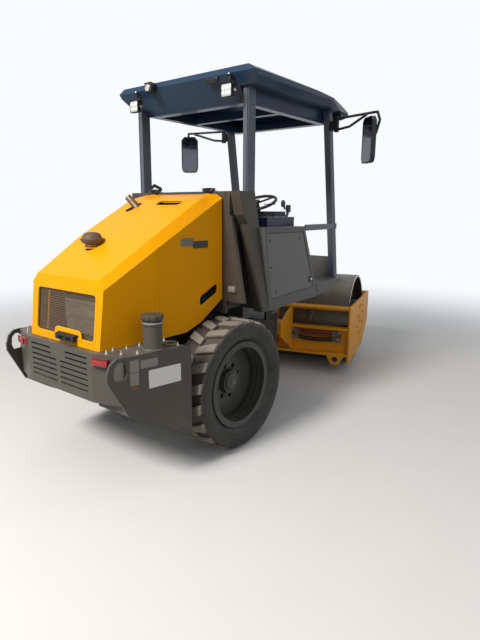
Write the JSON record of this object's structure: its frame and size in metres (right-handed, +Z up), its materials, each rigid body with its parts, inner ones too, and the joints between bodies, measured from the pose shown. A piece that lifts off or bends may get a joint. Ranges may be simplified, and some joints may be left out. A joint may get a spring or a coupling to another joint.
{
  "type": "single-drum road roller",
  "caption": "Single-drum soil compactor: rear tractor tyres under a sloping engine hood, roofed operator platform, articulated front frame with a smooth steel drum.",
  "frame": {"origin": "on the ground under the middle of the whole machine's bounding box, front frame turned as parked", "axes": "+X forward along the rear frame, +Y to the machine's left, +Z up"},
  "size_m": [4.558, 2.3764, 2.8178],
  "materials": {
    "yellow_paint": "semi-gloss machine paint",
    "grey_paint": "dark grey machine paint",
    "black_paint": "satin black paint",
    "tyre_rubber": "dusty rubber",
    "rim_paint": "grey-black wheel paint",
    "drum_steel": "bare rolled steel with a brown cast",
    "bare_steel": "ground steel",
    "cast_iron": "cast and painted",
    "seat_vinyl": "black vinyl",
    "black_plastic": "moulded black plastic",
    "control_plastic": "dark plastic under a bluish film",
    "red_lens": "red lens",
    "lamp_lens": "clear lens over bright reflector",
    "hose_rubber": "red sleeve"
  },
  "bodies": {
    "rear_frame": {"chassis_rails": "grey_paint", "articulation_bracket": "grey_paint", "rear_axle": "cast_iron", "engine_block": "cast_iron", "side_tanks": "grey_paint", "tank_side_plates": "grey_paint", "filler_neck": "grey_paint", "rear_bumper": "grey_paint", "tail_lights": "red_lens", "bulkhead": "grey_paint", "side_legs": "grey_paint", "platform_floor": "grey_paint", "front_wall": "grey_paint", "left_step": "black_paint", "right_console": "grey_paint", "console_cover": "grey_paint", "armrest_console": "control_plastic", "rear_posts": "grey_paint", "front_posts": "black_paint", "roof_panel": "black_paint", "roof_frame": "black_paint", "rear_work_lights": "lamp_lens", "beacon_socket": "black_plastic", "mirrors": "black_plastic", "mirror_arms": "black_paint", "handrails": "black_paint", "seat_base": "grey_paint", "seat_cushion": "seat_vinyl", "seat_backrest": "seat_vinyl", "steering_column": "black_plastic", "steering_wheel": "black_plastic", "cylinder_anchor": "grey_paint"},
    "hood": {"hood_shell": "yellow_paint", "hood_grille": "black_paint", "hood_latch": "black_paint", "exhaust_stub": "black_paint", "intake_cap": "black_paint"},
    "wheel_left": {"tyre_left": "tyre_rubber", "rim_left": "rim_paint"},
    "wheel_right": {"tyre_right": "tyre_rubber", "rim_right": "rim_paint"},
    "yoke": {"articulation_yoke": "yellow_paint"},
    "steer_barrel": {"steering_cylinder_barrel": "black_paint"},
    "steer_rod": {"steering_cylinder_rod": "bare_steel"},
    "drum_frame": {"drum_frame_sides": "yellow_paint", "drum_frame_rear_beam": "yellow_paint", "drum_frame_front_beam": "yellow_paint", "scrapers": "yellow_paint", "drum_mounts": "cast_iron", "hydraulic_lines": "hose_rubber"},
    "drum": {"drum_shell": "drum_steel"}
  },
  "joints": [
    {"name": "hood_hinge", "type": "hinge", "parent": "rear_frame", "child": "hood", "pos_m": [-1.03899, -0.06135, 1.974], "axis": [0, 1, 0], "range_deg": [0, 55]},
    {"name": "wheel_left_spin", "type": "hinge", "parent": "rear_frame", "child": "wheel_left", "pos_m": [-1.11299, 0.51865, 0.505], "axis": [0, 1, 0], "continuous": true},
    {"name": "wheel_right_spin", "type": "hinge", "parent": "rear_frame", "child": "wheel_right", "pos_m": [-1.11299, -0.64135, 0.505], "axis": [0, 1, 0], "continuous": true},
    {"name": "steering", "type": "hinge", "parent": "rear_frame", "child": "yoke", "pos_m": [0.263, -0.06135, 0.56], "axis": [0, 0, 1], "range_deg": [-50.2, 17.8]},
    {"name": "oscillation", "type": "hinge", "parent": "yoke", "child": "drum_frame", "pos_m": [0.263, -0.06135, 0.56], "axis": [0.9603, 0.279, 0], "range_deg": [-8, 8]},
    {"name": "drum_spin", "type": "hinge", "parent": "drum_frame", "child": "drum", "pos_m": [1.43456, 0.27902, 0.53], "axis": [-0.279, 0.9603, 0], "continuous": true},
    {"name": "steer_barrel_hinge", "type": "hinge", "parent": "rear_frame", "child": "steer_barrel", "pos_m": [-0.287, 0.14365, 0.555], "axis": [0, 0, 1], "range_deg": [-1.01, 0.37]},
    {"name": "steer_rod_slide", "type": "slide", "parent": "steer_barrel", "child": "steer_rod", "axis": [0.9986, 0.0527, 0], "range_m": [-0.06922, 0.19503]}
  ],
  "couplings": [
    {"joint": "steer_barrel_hinge", "follows": "steering", "ratio": 0.02},
    {"joint": "steer_rod_slide", "follows": "steering", "m_per_rad": -0.22248}
  ]
}
